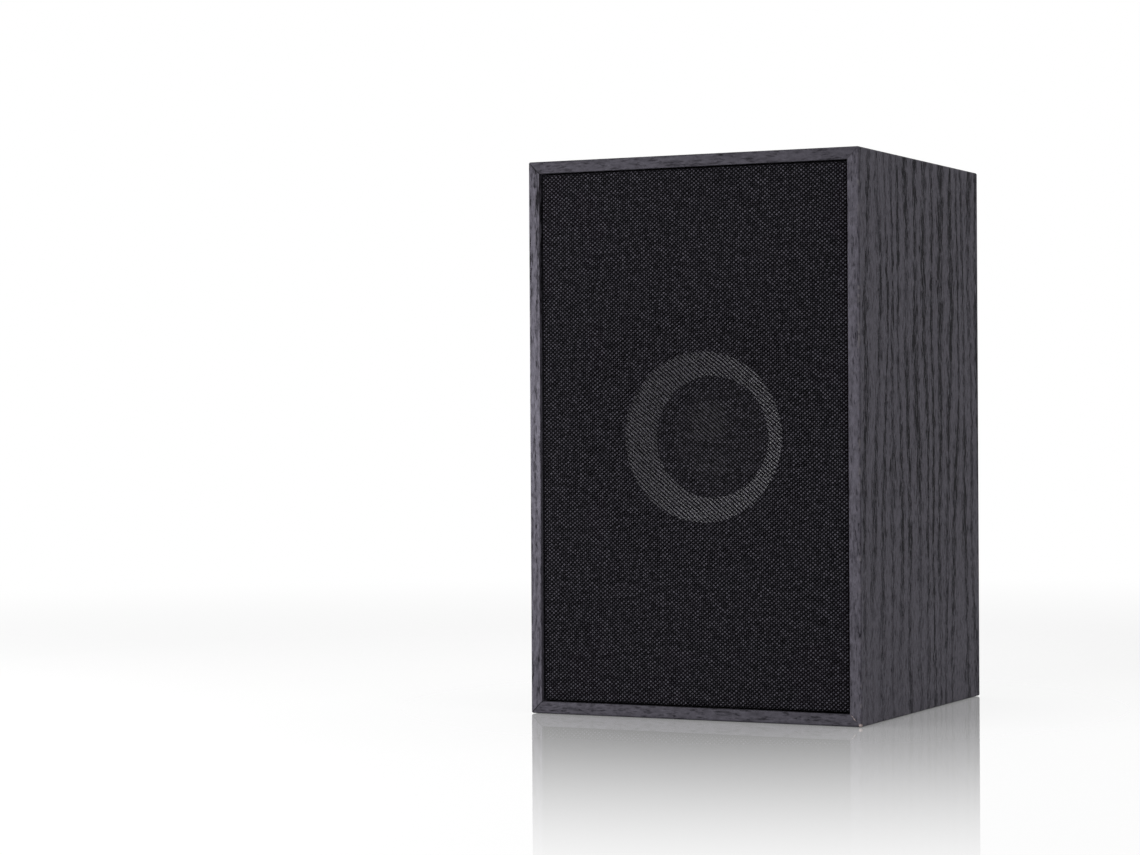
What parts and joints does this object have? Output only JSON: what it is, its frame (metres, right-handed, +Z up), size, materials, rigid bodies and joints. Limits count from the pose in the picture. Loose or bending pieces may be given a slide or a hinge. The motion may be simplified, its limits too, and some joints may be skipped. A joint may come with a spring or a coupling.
{
  "type": "bookshelf speaker",
  "caption": "Small passive bookshelf speaker: mitred black-ash cabinet, flush cloth grille over a full-range drive unit, rear port and a terminal cup with binding posts.",
  "frame": {"origin": "middle of the cabinet's footprint, on the surface it stands on", "axes": "+Z up, -Y the front with the grille, +X to the right seen from the front"},
  "size_m": [0.15, 0.15, 0.235],
  "materials": {
    "vinyl": "black-ash vinyl over particle board",
    "black_board": "black painted board",
    "grille_cloth": "open-weave polyester cloth",
    "black_plastic": "moulded, satin",
    "black_rubber": "matt",
    "foam": "closed-cell foam",
    "ring_board": "black fibre board",
    "black_steel": "black paint on pressed steel",
    "cone_paper": "grey coated paper",
    "cap_gloss": "glossy black dome",
    "former_foil": "thin foil",
    "copper_wire": "enamelled copper",
    "spider_cloth": "resin-dipped cloth",
    "plated_steel": "zinc plated",
    "ferrite": "ground ferrite",
    "fibre_board": "brown fibre",
    "tinned_brass": "tinned",
    "gold_brass": "gold plated",
    "red_plastic": "moulded, red",
    "knob_black": "moulded, black",
    "red_pvc": "wire insulation",
    "black_pvc": "wire insulation",
    "clear_nylon": "natural nylon sleeve",
    "screw_black": "black screw",
    "wadding": "polyester wadding"
  },
  "bodies": {
    "cabinet": {"top_panel": "vinyl", "bottom_panel": "vinyl", "left_panel": "vinyl", "right_panel": "vinyl", "baffle": "black_board", "back_panel": "vinyl", "damping_pad": "wadding", "grille_sockets": "black_rubber", "driver_basket": "black_steel", "driver_gasket": "foam", "gasket_ring": "ring_board", "surround": "black_rubber", "spider": "spider_cloth", "top_plate": "plated_steel", "magnet": "ferrite", "yoke": "plated_steel", "tag_board": "fibre_board", "driver_tags": "tinned_brass", "tinsel_leads": "copper_wire", "driver_screws": "screw_black", "port_tube": "black_plastic", "terminal_cup": "black_plastic", "terminal_gasket": "foam", "terminal_screws": "screw_black", "red_post": "gold_brass", "red_post_collar": "red_plastic", "red_wire": "red_pvc", "black_post": "gold_brass", "black_post_collar": "knob_black", "black_wire": "black_pvc", "post_nuts": "tinned_brass", "post_lugs": "tinned_brass", "wire_connectors": "clear_nylon"},
    "cone_assembly": {"cone": "cone_paper", "dust_cap": "cap_gloss", "voice_coil_former": "former_foil", "voice_coil": "copper_wire"},
    "grille": {"grille_frame": "black_board", "grille_cloth": "grille_cloth", "grille_pegs": "black_plastic"},
    "red_washer": {"red_clamp_washer": "gold_brass"},
    "red_knob": {"red_knob_cap": "red_plastic", "red_knob_insert": "gold_brass"},
    "black_washer": {"black_clamp_washer": "gold_brass"},
    "black_knob": {"black_knob_cap": "knob_black", "black_knob_insert": "gold_brass"}
  },
  "joints": [
    {"name": "cone_travel", "type": "slide", "parent": "cabinet", "child": "cone_assembly", "axis": [0, -1, 0], "range_m": [-0.003, 0.003], "stiffness_N_per_m": 1200, "deforming": ["surround", "spider", "tinsel_leads"]},
    {"name": "grille_pull", "type": "slide", "parent": "cabinet", "child": "grille", "axis": [0, -1, 0], "range_m": [0, 0.06]},
    {"name": "red_washer_slide", "type": "slide", "parent": "cabinet", "child": "red_washer", "axis": [0, 1, 0], "range_m": [0, 0.005]},
    {"name": "red_knob_turn", "type": "hinge", "parent": "red_washer", "child": "red_knob", "pos_m": [-0.0095, 0.058, 0.055], "axis": [0, 1, 0], "range_deg": [0, 1800]},
    {"name": "black_washer_slide", "type": "slide", "parent": "cabinet", "child": "black_washer", "axis": [0, 1, 0], "range_m": [0, 0.005]},
    {"name": "black_knob_turn", "type": "hinge", "parent": "black_washer", "child": "black_knob", "pos_m": [0.0095, 0.058, 0.055], "axis": [0, 1, 0], "range_deg": [0, 1800]}
  ],
  "couplings": [
    {"joint": "red_washer_slide", "follows": "red_knob_turn", "m_per_rad": 0.00015915},
    {"joint": "black_washer_slide", "follows": "black_knob_turn", "m_per_rad": 0.00015915}
  ]
}
